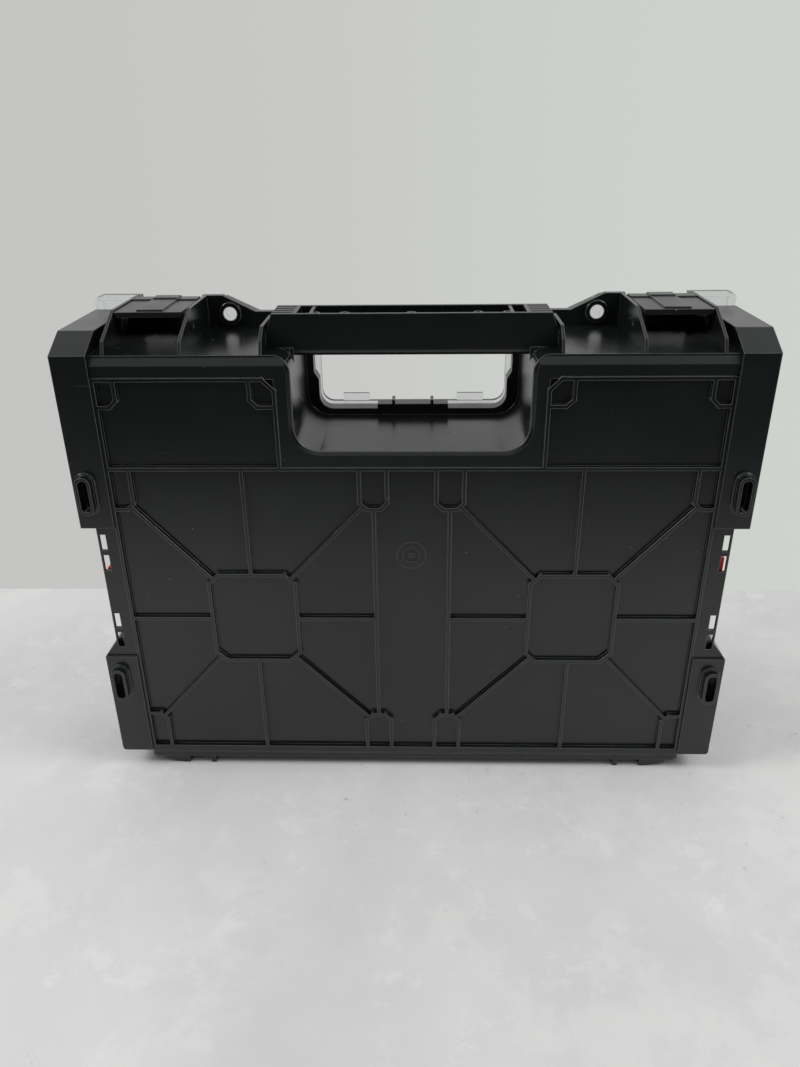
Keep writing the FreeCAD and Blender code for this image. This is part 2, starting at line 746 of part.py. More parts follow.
def recess_cuts():
    """The handle recess and the narrower opening in its far lip."""
    wide, narrow = S.lip_half_width, S.lip_lower_half_width
    top = S.case_top_z + S.overrun
    far = (S.lip_y - S.overrun, S.rim_y + S.overrun)
    lip_outline = [
        (-narrow, S.lip_kink_low_z), (narrow, S.lip_kink_low_z), (wide, S.lip_kink_high_z),
        (wide, top), (-wide, top), (-wide, S.lip_kink_high_z)]
    return [
        recess_slot("recess", S.recess_half_width, S.recess_foot_z, S.recess_corner_radius,
                    (-S.overrun, S.lip_y)),
        recess_slot("lip_lower", narrow, S.lip_foot_z, S.lip_corner_radius, far),
        slab("lip_upper", "XZ", lip_outline, far)]


def stop_block():
    """The block in the middle of the far lip, with two nubs on top."""
    half, top, depth = S.stop_block_half_width, S.stop_block_top_z, (S.lip_y, S.rim_y)
    body = block("stop_body", (-half, half), depth, (S.lip_foot_z - S.overrun, top))
    half_nub = S.stop_nub_width / 2
    nub = block("stop_nub", (S.stop_nub_x - half_nub, S.stop_nub_x + half_nub), depth,
                (top - S.overrun, top + S.stop_nub_height))
    return [body] + both(nub)


def ledge():
    """The plain edge above the top rib, across the whole panel, with a slope up to the shelf."""
    back, face = S.rib_depth + S.wall / 2, S.surround_y
    outline = [
        (back, S.top_rib_z), (face, S.top_rib_z), (face, S.ledge_nose_z),
        (S.ledge_slope_depth, S.shelf_z), (back, S.shelf_z)]
    return slab("ledge", "YZ", outline, (-S.bumper_inner_x, S.bumper_inner_x))


def gate_cuts():
    """The shallow ring and pit of the moulding gate in the middle of the panel."""
    spot, face = (S.gate_x, S.gate_z), S.rib_depth
    return [
        rod("gate_ring", "Y", spot, S.gate_ring_radius, (face - S.overrun, face + S.gate_ring_depth)),
        rod("gate_pit", "Y", spot, S.gate_pit_radius, (face - S.overrun, face + S.gate_pit_depth))]


def gate_pip():
    bottom = S.rib_depth + S.gate_pit_depth
    return rod("gate_pip", "Y", (S.gate_x, S.gate_z), S.gate_pip_radius,
               (bottom - S.gate_pip_height, bottom + S.wall / 4))


def tray_middle():
    """The tray's walls and the ribs that run right across."""
    half, edge = S.tray_width / 2, S.panel_width / 2
    skin = S.rib_depth + S.wall / 2
    parts = [
        block("tray_block", (-half, half), (S.rib_depth, S.rim_y), (S.foot_wall_z, S.shelf_z)),
        block("foot_rim", (-half, half), (S.rim_y - S.wall, S.rim_y), (S.tray_foot_z, S.foot_wall_z)),
        block("foot_step", (-edge, edge), (S.foot_step_y, skin), (S.tray_foot_z, S.bottom_rib_z)),
        block("foot_strip", (-edge, edge), (ZERO, skin), (S.panel_foot_z, S.bottom_rib_z)),
        block("foot_rib", (-S.wall / 2, S.wall / 2), (S.rib_depth, S.rim_y),
              (S.tray_foot_z, S.foot_wall_z)),
        block("surround", (-S.inner_rib_x, S.inner_rib_x), (S.surround_y, skin),
              (S.middle_rib_z, S.ledge_nose_z)),
        ledge()]
    for part, z in (("bottom", S.bottom_rib_z), ("middle", S.middle_rib_z)):
        parts += chain(f"{part}_rib", [(-edge, z), (edge, z)])
    return parts


def make_tray():
    """The tray as three nodes: shell with panel and walls, wall round the handle recess, hinge foot."""
    solid = join("tray_solid", tray_middle() + both(right_half()))
    cavity = slab("cavity", "XZ", tray_outline(ZERO), (S.rib_depth + S.wall, S.rim_y + S.overrun))
    hollow = cut("tray_open", solid, [cavity] + recess_cuts() + gate_cuts() + both(right_cuts()))
    tray = join("tray", [hollow, gate_pip()] + stop_block())
    notch, half = S.recess_half_width + S.wall, S.case_width / 2
    recess_zone = block("recess_zone", (-notch, notch), (S.recess_mouth_y, S.rim_y + S.overrun),
                        (S.recess_foot_z - S.wall, S.shelf_z + S.overrun))
    foot_zone = block("foot_zone", (-half, half), (-S.overrun, S.case_depth), (-S.overrun, S.foot_wall_z))
    return [
        cut("base_shell", tray, [recess_zone, foot_zone]),
        overlap("recess_wall", tray, recess_zone),
        overlap("hinge_foot", tray, foot_zone)]


# Handle, bumpers, rails and latch frames, which are moulded onto the tray

def handle_bar():
    """The bar over the recess, with a channel along its top and grooves across its ends."""
    wide, top_wide = S.handle_half_width, S.handle_top_half_width
    wall_x, root = S.recess_half_width, S.shelf_z
    outline = [
        (-wide, root), (-wall_x, root), (-wall_x, S.handle_foot_z), (wall_x, S.handle_foot_z),
        (wall_x, root), (wide, root), (wide, S.handle_shoulder_z), (top_wide, S.handle_top_z),
        (-top_wide, S.handle_top_z), (-wide, S.handle_shoulder_z)]
    near, far = S.handle_y, S.handle_y + S.handle_thick
    raw = slab("handle_raw", "XZ", outline, (near, far))
    soft = rounded("handle_soft", raw, S.handle_edge_radius, X_AXIS,
                   lambda point: close(point.z, S.handle_foot_z))
    wall, end = S.handle_channel_wall, S.handle_end_x
    above = S.handle_top_z + S.overrun
    tools = [block("handle_channel", (-end, end), (near + wall, far - wall),
                   (S.handle_channel_foot_z, above))]
    half_groove = S.grip_groove_width / 2
    for number, share in enumerate(GROOVE_SHARES, start=1):
        centre = (near + far) / 2 + S.grip_groove_pitch * share
        groove = block(f"grip_groove_{number}", (end + wall, wide),
                       (centre - half_groove, centre + half_groove),
                       (S.handle_top_z - S.grip_groove_depth, above))
        tools += both(groove)
    return cut("handle_bar", soft, tools)


def boss_rods(name, radius, ends):
    """A rod at each of the five boss places in the handle's channel."""
    y = S.handle_y + S.handle_channel_wall + S.handle_boss_inset
    rods = [rod(f"middle_{name}", "Z", (ZERO, y), radius, ends)]
    for part, x in (("inner", S.handle_middle_boss_x), ("outer", S.handle_outer_boss_x)):
        rods += both(rod(f"{part}_{name}", "Z", (x, y), radius, ends))
    return rods


def handle_posts():
    """The webs and round bosses that stand in the handle's channel."""
    near, far, wall = S.handle_y, S.handle_y + S.handle_thick, S.handle_channel_wall
    stand = (S.handle_channel_foot_z - S.overrun, S.handle_boss_top_z)
    web = block("handle_web", (S.handle_web_x, S.handle_web_x + S.handle_web_thick),
                (near + wall / 2, far - wall / 2), stand)
    return both(web) + boss_rods("boss", S.handle_boss_radius, stand)


def handle_bores():
    top = S.handle_boss_top_z
    return boss_rods("bore", S.handle_bore_radius, (top - S.handle_bore_depth, top + S.overrun))


def make_handle():
    gusset_end = S.handle_y + S.handle_thick
    web = gusset("handle_gusset", S.handle_half_width, S.handle_gusset_slope_y,
                 S.handle_gusset_top_z, gusset_end)
    solid = join("handle_solid", [handle_bar()] + handle_posts() + both(web))
    return cut("handle", solid, handle_bores())


def upper_bumper():
    outline = [
        (S.bumper_face_y, S.upper_bumper_foot_z), (S.bumper_face_y, S.upper_bumper_nose_z),
        (S.bumper_slope_depth, S.upper_bumper_top_z), (S.rim_y, S.upper_bumper_top_z),
        (S.rim_y, S.upper_bumper_foot_z)]
    return slab("upper_bumper", "YZ", outline, (S.bumper_inner_x, S.case_width / 2))


def lower_bumper():
    """A flat-topped face in front of a body whose outer shoulder slopes up to the strip."""
    inner, outer = S.bumper_inner_x, S.case_width / 2
    foot, top = S.lower_bumper_foot_z, S.lower_bumper_top_z
    crest = top + S.shoulder_rise
    face = block("lower_bumper_face", (inner, outer), (S.bumper_face_y, S.rim_y), (foot, top))
    shoulder = slab("lower_bumper_shoulder", "XZ", [
        (inner, foot + S.wall), (outer, foot + S.wall), (outer, top), (S.strip_outer_x, crest),
        (inner, crest)], (S.strip_y, S.rim_y))
    soft = rounded("lower_bumper_soft", face, S.bumper_corner_radius, Y_AXIS,
                   lambda point: close(point.x, outer) and close(point.z, foot))
    return join("lower_bumper", [soft, shoulder])


def side_strip():
    return block("side_strip", (S.bumper_inner_x, S.strip_outer_x), (S.strip_y, S.strip_y + S.wall),
                 (S.lower_bumper_top_z, S.upper_bumper_foot_z + S.wall))


def stacking_pegs():
    pegs = []
    root = S.bumper_face_y + S.wall / 2
    for part, z in (("upper", S.upper_peg_z), ("lower", S.lower_peg_z)):
        pegs.append(stadium(f"{part}_peg", S.peg_x, z, S.peg_width, S.peg_height,
                            (-S.peg_reach, root)))
        pegs.append(stadium(f"{part}_peg_step", S.peg_x, z, S.peg_step_width, S.peg_step_height,
                            (-S.peg_step_reach, root)))
    return pegs


def bumper_hollow(name, foot, top):
    x = (S.bumper_inner_x + S.bumper_rim_wall, S.case_width / 2 - S.wall)
    y = (S.bumper_face_y + S.wall, S.rim_y + S.overrun)
    return block(name, x, y, (foot + S.wall, top - S.wall))


def strip_slots():
    half = S.slot_width / 2
    x = (S.slot_x - half, S.slot_x + half)
    y = (S.strip_y - S.overrun, S.strip_y + S.wall + S.overrun)
    feet = (S.slot_1_foot_z, S.slot_2_foot_z, S.slot_3_foot_z, S.slot_4_foot_z)
    return [block(f"slot_{number}", x, y, (foot, foot + S.slot_height))
            for number, foot in enumerate(feet, start=1)]


def peg_holes():
    ends = (-S.peg_reach - S.overrun, S.bumper_face_y + S.wall + S.overrun)
    return [stadium(f"{part}_peg_hole", S.peg_x, z, S.peg_hole_width, S.peg_hole_height, ends)
            for part, z in (("upper", S.upper_peg_z), ("lower", S.lower_peg_z))]


def make_side_bumper():
    """Both bumpers of the right side with the slotted strip between them, the rim and the pegs."""
    rim = block("side_rim", (S.tray_width / 2, S.rim_width / 2), (S.rim_y - S.wall, S.rim_y),
                (S.foot_wall_z, S.shelf_z))
    solid = join("bumper_solid", [upper_bumper(), lower_bumper(), side_strip(), rim] + stacking_pegs())
    hollows = [
        bumper_hollow("upper_hollow", S.upper_bumper_foot_z, S.upper_bumper_nose_z),
        bumper_hollow("lower_hollow", S.lower_bumper_foot_z, S.lower_bumper_top_z)]
    side = block("tray_side", (S.bumper_inner_x, S.tray_width / 2), (S.rib_depth, S.rim_y + S.overrun),
                 (S.lower_bumper_foot_z, S.shelf_z))
    return cut("side_bumper_right", solid, [side] + hollows + strip_slots() + peg_holes())


def front_rim():
    """The rim above the shelf: low by the handle, raised round the stud, low under the latch."""
    foot = S.shelf_z
    outline = [
        (S.recess_half_width, foot), (S.recess_half_width, S.rim_low_z),
        (S.rim_low_end_x, S.rim_low_z), (S.rim_high_start_x, S.case_top_z),
        (S.rim_high_end_x, S.case_top_z), (S.rim_high_end_x, S.rim_latch_z),
        (S.outer_gusset_x, S.rim_latch_z), (S.outer_gusset_x, S.upper_bumper_top_z),
        (S.bumper_inner_x, S.upper_bumper_top_z), (S.bumper_inner_x, foot)]
    return slab("front_rim", "XZ", outline, (S.rim_y - S.front_rim_thick, S.rim_y))


def make_latch_frame():
    """The rim behind the right latch, with the collar of the stud and the latch's two gussets."""
    face, spot = S.rim_y - S.front_rim_thick, (S.stud_x, S.stud_z)
    hole_radius = S.stud_radius + S.seam_gap
    collar = rod("stud_collar", "Y", spot, hole_radius + S.collar_width,
                 (face - S.collar_reach, S.rim_y - S.wall))
    solid = join("latch_frame_solid", [
        front_rim(), collar,
        gusset("inner_gusset", S.inner_gusset_x, S.inner_gusset_slope_y, S.case_top_z, S.rim_y),
        gusset("outer_gusset", S.outer_gusset_x, S.outer_gusset_slope_y, S.case_top_z, S.rim_y)])
    stud_hole = rod("stud_hole", "Y", spot, hole_radius,
                    (face - S.collar_reach - S.overrun, S.rim_y + S.overrun))
    trunnion_hole = rod("trunnion_hole", "X", (S.latch_pivot_y, S.latch_pivot_z),
                        S.latch_trunnion_radius + S.running_gap,
                        (S.inner_gusset_x - S.overrun, S.outer_gusset_x + S.gusset_thick + S.overrun))
    return cut("latch_frame_right", solid, [stud_hole, trunnion_hole])


# Lid

def lid_near():
    return S.rim_y + S.seam_gap


def lid_outline(shrink):
    """The lid's edge as seen from outside, drawn in all round."""
    side, foot = S.lid_width / 2 - shrink, S.lid_foot_z + shrink
    top, latch = S.case_top_z - S.lid_top_drop - shrink, S.lid_latch_z - shrink
    low, hump = S.rim_low_z - S.lid_low_drop - shrink, S.case_top_z - S.lid_hump_drop - shrink
    notch, notch_foot = S.lid_recess_half_width + shrink, S.lid_recess_foot_z - shrink
    right = [
        (side, foot), (side, top), (S.lid_corner_x + shrink, top), (S.lid_corner_x + shrink, latch),
        (S.rim_high_end_x - shrink, latch), (S.rim_high_end_x - shrink, hump),
        (S.rim_high_start_x + shrink, hump), (S.rim_low_end_x + shrink, low), (notch, low),
        (notch, notch_foot)]
    return right + [(-x, z) for x, z in reversed(right)]


def lid_prism(name, shrink, ends):
    """A prism of the lid's outline, round in its outer corners and in the recess corners."""
    raw = slab(name + "_raw", "XZ", lid_outline(shrink), ends)
    side, notch = S.lid_width / 2 - shrink, S.lid_recess_half_width + shrink
    outer = rounded(name + "_outer", raw, S.lid_corner_radius - shrink / 2, Y_AXIS,
                    lambda point: close(abs(point.x), side))
    notch_foot = S.lid_recess_foot_z - shrink
    return rounded(name, outer, S.lid_recess_radius + shrink, Y_AXIS,
                   lambda point: close(abs(point.x), notch) and close(point.z, notch_foot))


def lid_windows():
    """Shallow panes sunk into the lid's outer face."""
    far, half_gap = S.case_depth, S.lid_window_gap / 2
    foot, top = S.lid_window_foot_z, S.lid_window_top_z
    middle = (foot + top) / 2
    depth = (far - S.lid_window_depth, far + S.overrun)
    panes = []
    for part, low, high in (("low", foot, middle - half_gap), ("high", middle + half_gap, top)):
        panes += both(block(f"{part}_window", (half_gap, S.lid_window_side_x), depth, (low, high)))
    return panes


def seal_edge(side):
    """How far the seal's outer (1) or inner (-1) edge lies outside the cavity's."""
    return S.wall / 2 + S.seal_width / 2 * side


def ring(name, ends):
    """A ring over the tray wall, as wide as the seal."""
    past = (ends[0] - S.overrun, ends[1] + S.overrun)
    outer = slab(name + "_outer", "XZ", tray_outline(seal_edge(1)), ends)
    return cut(name, outer, [slab(name + "_inner", "XZ", tray_outline(seal_edge(-1)), past)])


def lid_ribs():
    """Ribs inside the lid, over the walls between the cups."""
    skin, half = S.case_depth - S.lid_wall, S.lid_rib_thick / 2
    depth = (skin - S.lid_rib_height, skin + S.lid_wall / 2)
    side, notch = S.tray_width / 2 - S.wall, S.recess_half_width + S.wall
    foot, head = S.foot_wall_z + S.wall, S.recess_foot_z - S.wall
    middle = (foot + head) / 2
    clear = S.seam_gap - seal_edge(-1)
    across, up = (-side + clear, side - clear), (foot + clear, head - clear)
    ribs = [
        block("rib_across", across, depth, (middle - half, middle + half)),
        block("rib_centre", (-half, half), depth, up)]
    ribs += both(block("rib_up", (side / 2 - half, side / 2 + half), depth, up))
    ribs += both(block("rib_head", (notch + clear, side - clear), depth, (head - half, head + half)))
    return ribs


def socket_parts(name, wall, depth):
    """An oval at both peg places, as large as a peg with its gap and the wall given."""
    gap = (S.socket_gap + wall) * 2
    return [stadium(f"{part}_{name}", S.peg_x, z, S.peg_width + gap, S.peg_height + gap, depth)
            for part, z in (("upper", S.upper_peg_z), ("lower", S.lower_peg_z))]


def lid_right_parts():
    """What the lid carries on its right side: sockets, stud, tab and hinge knuckle."""
    near, far = lid_near(), S.case_depth
    socket_floor = far - S.peg_reach - S.socket_gap
    stud = rod("stud", "Y", (S.stud_x, S.stud_z), S.stud_radius,
               (near - S.stud_reach, far - S.lid_wall / 2))
    half_tab = S.lid_tab_width / 2
    tab = block("recess_tab", (S.lid_tab_x - half_tab, S.lid_tab_x + half_tab), (far - S.lid_wall, far),
                (S.lid_recess_foot_z - S.lid_wall / 2, S.lid_recess_foot_z + S.lid_tab_height))
    (_, inner_end), (outer, _) = hinge_ribs()
    ends = (inner_end + S.seam_gap, outer - S.seam_gap)
    knuckle = rod("lid_knuckle", "X", (S.hinge_y, S.hinge_z), S.hinge_radius, ends)
    web = block("knuckle_web", ends, (near, S.hinge_y + S.hinge_radius),
                (S.hinge_z, S.lid_foot_z + S.lid_wall))
    walls = socket_parts("socket", S.socket_wall, (socket_floor - S.socket_wall, far))
    return join("lid_right_parts", walls + [stud, tab, knuckle, web])


def lid_right_cuts():
    far, tip = S.case_depth, lid_near() - S.stud_reach
    (inner, _), (_, outer_end) = hinge_ribs()
    dimple = rod("stud_dimple", "Y", (S.stud_x, S.stud_z), S.stud_dimple_radius,
                 (tip - S.overrun, tip + S.stud_dimple_depth))
    pin_hole = rod("lid_pin_hole", "X", (S.hinge_y, S.hinge_z), S.hinge_pin_radius + S.running_gap,
                   (inner, outer_end))
    holes = socket_parts("socket_hole", ZERO, (far - S.peg_reach - S.socket_gap, far + S.overrun))
    return join("lid_right_cuts", holes + [dimple, pin_hole])


def make_lid():
    near, far = lid_near(), S.case_depth
    skin = far - S.lid_wall
    outside = lid_prism("lid_outside", ZERO, (near, far))
    inside = lid_prism("lid_inside", S.lid_wall, (near - S.overrun, skin))
    shell = cut("lid_shell", outside, [inside] + lid_windows())
    ridge = ring("seal_ridge", (near + S.seal_thick, skin + S.lid_wall / 2))
    solid = join("lid_solid", [shell, ridge] + lid_ribs() + both(lid_right_parts()))
    return cut("lid", solid, both(lid_right_cuts()))


def make_lid_seal():
    return ring("lid_seal", (lid_near(), lid_near() + S.seal_thick))


# Moving hardware

def across(ends, side):
    """A stretch of X on the right (1), or its reflection on the left (-1)."""
    return ends if side > 0 else (-ends[1], -ends[0])


def make_hinge_pin(name, side):
    (inner, _), (_, outer) = hinge_ribs()
    ends = across((inner - S.hinge_pin_overhang, outer + S.hinge_pin_overhang), side)
    return rod(name, "X", (S.hinge_y, S.hinge_z), S.hinge_pin_radius, ends)


def attached_sketch(body, name, plane, points, offset):
    """A sketch on one of the body's own origin planes, moved along the plane's normal."""
    role = plane + "_Plane"
    support = [item for item in body.Origin.OriginFeatures if item.Role == role][0]
    sketch = body.newObject("Sketcher::SketchObject", name + "_sketch")
    sketch.AttachmentSupport = (support, [""])
    sketch.MapMode = "FlatFace"
    bind(sketch, {"AttachmentOffset.Base.z": -offset if plane == "XZ" else offset})
    draw(sketch, points)
    return sketch


def pad(body, name, plane, points, ends):
    """Add the outline between two ends; the XZ plane's own normal points to minus Y."""
    item = body.newObject("PartDesign::Pad", name)
    item.Profile = attached_sketch(body, name, plane, points, ends[0])
    item.Reversed = plane == "XZ"
    bind(item, {"Length": ends[1] - ends[0]})
    return item


def body_fillet(body, name, radius, direction, wanted):
    doc.recompute()
    base = body.Tip
    item = body.newObject("PartDesign::Fillet", name)
    item.Base = (base, [f"Edge{number}" for number in edges_along(base.Shape, direction, wanted)])
    bind(item, {"Radius": radius})
    return item


def latch_profiles():
    """The side views of the latch: plate with hook, ear, stiffening rib and raised band."""
    top, under = S.latch_top_z, S.latch_top_z - S.latch_thick
    embed = S.latch_top_z - S.latch_thick / 2
    hook_under = S.latch_tip_z - S.latch_hook_thick
    lip, lip_end, lip_top = S.latch_lip_y, S.latch_lip_end_y, top + S.latch_lip_rise
    plate = [
        (S.latch_near_y, under), (S.latch_near_y, top), (lip, top), (lip, lip_top),
        (lip_end, lip_top), (S.rim_y, S.latch_tip_z), (S.latch_end_y, S.latch_tip_z),
        (S.latch_end_y, hook_under), (S.rim_y - S.front_rim_thick, hook_under), (lip, under)]
    y, z, radius, flank = S.latch_pivot_y, S.latch_pivot_z, S.latch_ear_radius, S.latch_ear_flank
    ear = [
        (y - radius, embed), (y - radius, z - flank), (y - flank, z - radius),
        (y + flank, z - radius), (y + radius, z - flank), (y + S.latch_ear_foot, embed)]
    low = under - S.latch_rib_depth
    rib_side = [(y, embed), (y + radius, low), (lip, low), (lip_end, embed)]
    start, rise = S.latch_near_y + S.latch_band_margin, S.latch_band_rise
    band = [
        (start, embed), (start, top + rise), (lip, top + rise), (lip, lip_top + rise),
        (lip_end, lip_top + rise), (S.rim_y, S.latch_tip_z), (lip_end, embed)]
    return plate, ear, rib_side, band


def make_latch(name, side):
    """A plate that turns on two trunnions and reaches over the lid's front edge."""
    body = doc.addObject("PartDesign::Body", name + "_plate")
    plate, ear, rib_side, band = latch_profiles()
    inner, outer, thick = S.latch_inner_x, S.latch_outer_x, S.latch_ear_thick
    third = (outer - inner) / 3
    half_rib = S.latch_rib_thick / 2
    pads = [
        ("inner_ear", ear, (inner, inner + thick)),
        ("outer_ear", ear, (outer - thick, outer)),
        ("inner_rib", rib_side, (inner + third - half_rib, inner + third + half_rib)),
        ("outer_rib", rib_side, (outer - third - half_rib, outer - third + half_rib)),
        ("band", band, (S.latch_band_inner_x, S.latch_band_outer_x))]
    pad(body, name + "_flap", "YZ", plate, across((inner, outer), side))
    body_fillet(body, name + "_corners", S.latch_corner_radius, Z_AXIS,
                lambda point: close(point.y, S.latch_near_y))
    for part, profile, ends in pads:
        pad(body, f"{name}_{part}", "YZ", profile, across(ends, side))
    pivot = (S.latch_pivot_y, S.latch_pivot_z)
    hole_ends = (S.inner_gusset_x + S.seam_gap, S.outer_gusset_x + S.gusset_thick - S.seam_gap)
    trunnions = [
        rod(f"{name}_trunnion_{part}", "X", pivot, S.latch_trunnion_radius, across(ends, side))
        for part, ends in (("inner", (hole_ends[0], inner + thick)),
                           ("outer", (outer - thick, hole_ends[1])))]
    return join(name, [body] + trunnions)


def make_side_lock(name, side, foot_z):
    """A slide that runs up and down its rail behind the slotted strip."""
    run = (foot_z, foot_z + S.lock_height)
    outer, near, far = S.lock_outer_x, S.lock_near_y, S.lock_far_y
    solids = [block(name + "_block", across((S.tray_width / 2 + S.seam_gap, outer), side),
                    (near, far), run)]
    middle, half = (run[0] + run[1]) / 2, S.lock_ridge_thick / 2
    for number in (-1, 0, 1):
        centre = middle + S.lock_ridge_pitch * number
        solids.append(block(f"{name}_ridge_{number + 2}",
                            across((outer - S.lock_ridge_reach, outer + S.lock_ridge_reach), side),
                            (near + S.lock_ridge_pitch, far), (centre - half, centre + half)))
    past = (run[0] - S.overrun, run[1] + S.overrun)
    slots = [block(f"{name}_{part}_slot", across(x, side), y, past)
             for part, (x, y) in zip(("stem", "head"), rail_sizes(S.seam_gap))]
    return cut(name, join(name + "_solid", solids), slots)


# Removable cups

def make_bin(name, x, z):
    """An open cup with round corners that stands on the tray floor and opens to the lid."""
    gap = S.bin_gap / 2
    x, z = (x[0] + gap, x[1] - gap), (z[0] + gap, z[1] - gap)
    floor = S.rib_depth + S.wall + S.seam_gap
    body = doc.addObject("PartDesign::Body", name)
    outline = [(x[0], z[0]), (x[1], z[0]), (x[1], z[1]), (x[0], z[1])]
    pad(body, name + "_block", "XZ", outline, (floor, S.rim_y - S.bin_drop))
    body_fillet(body, name + "_corners", S.bin_radius, Y_AXIS, lambda point: True)
    doc.recompute()
    faces = body.Tip.Shape.Faces
    mouth = max(range(len(faces)), key=lambda index: faces[index].CenterOfMass.y)
    shell = body.newObject("PartDesign::Thickness", name + "_shell")
    shell.Base = (body.Group[-2], [f"Face{mouth + 1}"])
    shell.Reversed = True
    bind(shell, {"Value": S.bin_wall})
    return body


def make_bins():
    """Two cups beside the handle recess, and two rows of four below it."""
    side = S.tray_width / 2 - S.wall
    notch = S.recess_half_width + S.wall
    foot, head, top = S.foot_wall_z + S.wall, S.recess_foot_z - S.wall, S.shelf_z - S.wall
    middle = (foot + head) / 2
    bins = [
        make_bin("bin_top_left", (-side, -notch), (head, top)),
        make_bin("bin_top_right", (notch, side), (head, top))]
    edges = [-side, -side / 2, ZERO, side / 2, side]
    for row, ends in (("upper", (middle, head)), ("lower", (foot, middle))):
        for number in range(len(edges) - 1):
            bins.append(make_bin(f"bin_{row}_{number + 1}", (edges[number], edges[number + 1]), ends))
    return bins


def centred(node, y=ZERO):
    """Move a node so that the middle of the case's depth, pegs included, lies at Y zero."""
    bind(node, {"Placement.Base.y": y + (S.peg_reach - S.case_depth) / 2})
    return node


side_nodes = [make_side_bumper(), make_latch_frame(), make_lock_rail()]
nodes = [
    centred(node) for node in make_tray() + side_nodes + [
        make_handle(),
        make_lid(),
        make_lid_seal(),
        make_latch("latch_left", -1),
        make_latch("latch_right", 1),
        make_side_lock("side_lock_left", -1, S.lock_left_foot_z),
        make_side_lock("side_lock_right", 1, S.lock_right_foot_z),
    ] + make_bins()
]
for node in side_nodes:
    twin = mirrored(node)
    twin.Label = node.Label.replace("right", "left")
    nodes.append(twin)
nodes.append(centred(make_hinge_pin("hinge_pin_left", -1), S.hinge_y))
nodes.append(centred(make_hinge_pin("hinge_pin_right", 1), S.hinge_y))

doc.recompute()

for item in doc.Objects:
    if "Invalid" in item.State or "Error" in item.State:
        raise RuntimeError(f"{item.Name} failed: {item.State}")
for node in nodes:
    if node.Shape.isNull() or not node.Shape.isValid():
        raise RuntimeError(f"{node.Label} has no valid shape")

os.makedirs("parts", exist_ok=True)
for node in nodes:
    node.Shape.exportStep(f"parts/{node.Label}.step")
    print(node.Label, "solids", len(node.Shape.Solids), "volume cm3", round(node.Shape.Volume / 1000, 1))
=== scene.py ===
import math

import bpy
from mathutils import Matrix, Vector

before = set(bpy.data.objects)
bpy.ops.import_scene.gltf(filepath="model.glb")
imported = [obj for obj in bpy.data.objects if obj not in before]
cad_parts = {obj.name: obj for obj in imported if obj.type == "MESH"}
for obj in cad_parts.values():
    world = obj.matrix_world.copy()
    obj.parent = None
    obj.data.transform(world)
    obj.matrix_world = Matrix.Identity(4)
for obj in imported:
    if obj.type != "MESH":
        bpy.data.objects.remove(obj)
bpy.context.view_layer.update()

scene = bpy.context.scene
scene.view_settings.view_transform = "Standard"


def rgb(red, green=None, blue=None):
    """A colour; one number alone gives a grey."""
    if green is None:
        green = blue = red
    return (red, green, blue, 1.0)


# Radii of the softened edges, in metres, and how far out from an inner corner the painted corner shade
# reaches

SHELL_EDGE = 0.0008
LATCH_EDGE = 0.0007
CUP_EDGE = 0.0007
LID_EDGE = 0.0006
SLIDE_EDGE = 0.0005
SEAL_EDGE = 0.0006
PIN_EDGE = 0.0003
CORNER_REACH = 0.004

# How much a mark changes the roughness, and how milky a worn clear edge is

SMUDGE_SMOOTHS = 0.03
SMUDGE_ROUGHENS = 0.06
DUST_ROUGHENS = 0.3
CLEAR_MARK_ROUGHENS = 0.3
CLEAR_EDGE_MILK = 0.35

# The part of a speck's radius that has its full strength, and the shader's rays for edges and corners

SPECK_CORE_SHARE = 0.4
EDGE_RAYS = 4

# Colours of the case

SHELL_CLEAN = rgb(0.0052, 0.0063, 0.0066)
SHELL_FILMED = rgb(0.0085, 0.0097, 0.0100)
LATCH_CLEAN = rgb(0.0070, 0.0080, 0.0082)
LATCH_FILMED = rgb(0.0105, 0.0115, 0.0115)
CUP_CLEAN = rgb(0.010, 0.011, 0.011)
CUP_FILMED = rgb(0.016, 0.017, 0.017)
# Painted shade for inner corners
INNER_CORNER_PAINTED_SHADE = rgb(0.002, 0.0022, 0.0023)
# Painted highlight for outer edges
EDGE_PAINTED_HIGHLIGHT = rgb(0.19, 0.20, 0.20)
SCRATCH = rgb(0.09, 0.095, 0.095)
DUST = rgb(0.42, 0.42, 0.40)
LID_TINT = rgb(0.965, 0.97, 0.965)
SLIDE_DEEP = rgb(0.48, 0.012, 0.010)
SLIDE_BRIGHT = rgb(0.60, 0.022, 0.018)
SLIDE_DUST = rgb(0.5, 0.35, 0.33)
SEAL_DARK = rgb(0.02)
SEAL_PALE = rgb(0.04)
STEEL_DARK = rgb(0.42)
STEEL_PALE = rgb(0.62)

# Colours of the studio

FLOOR_DARK = rgb(0.60, 0.60, 0.60)
FLOOR_PALE = rgb(0.72, 0.715, 0.715)
FLOOR_PATCH = rgb(0.74, 0.735, 0.73)
FLOOR_PORE = rgb(0.34, 0.335, 0.33)
FLOOR_SCRAPE = rgb(0.30, 0.29, 0.28)
FLOOR_FLAKE = rgb(0.84, 0.835, 0.83)
FLOOR_MIRRORED = rgb(0.05, 0.055, 0.06)
FRONT_LOW = rgb(0.018, 0.020, 0.022)
FRONT_HIGH = rgb(0.53, 0.54, 0.53)
BACK_LIGHT = rgb(0.56, 0.57, 0.56)
# The backdrop is painted darker on the left and lighter on the right: painted shade and painted light, as
# the light falls from the right
BACKDROP_LEFT_SHADED = rgb(0.56, 0.555, 0.55)
BACKDROP_RIGHT_LIT = rgb(0.62, 0.645, 0.61)

# The floor's reach, in metres: it ends where the photograph's wall stands. There is no wall here, so that
# the case can be seen from behind

FLOOR_SIDE = 2.4
FLOOR_FRONT = -2.2
FLOOR_BACK = 0.255

# The camera at the photograph's place: metres, degrees and millimetres of lens

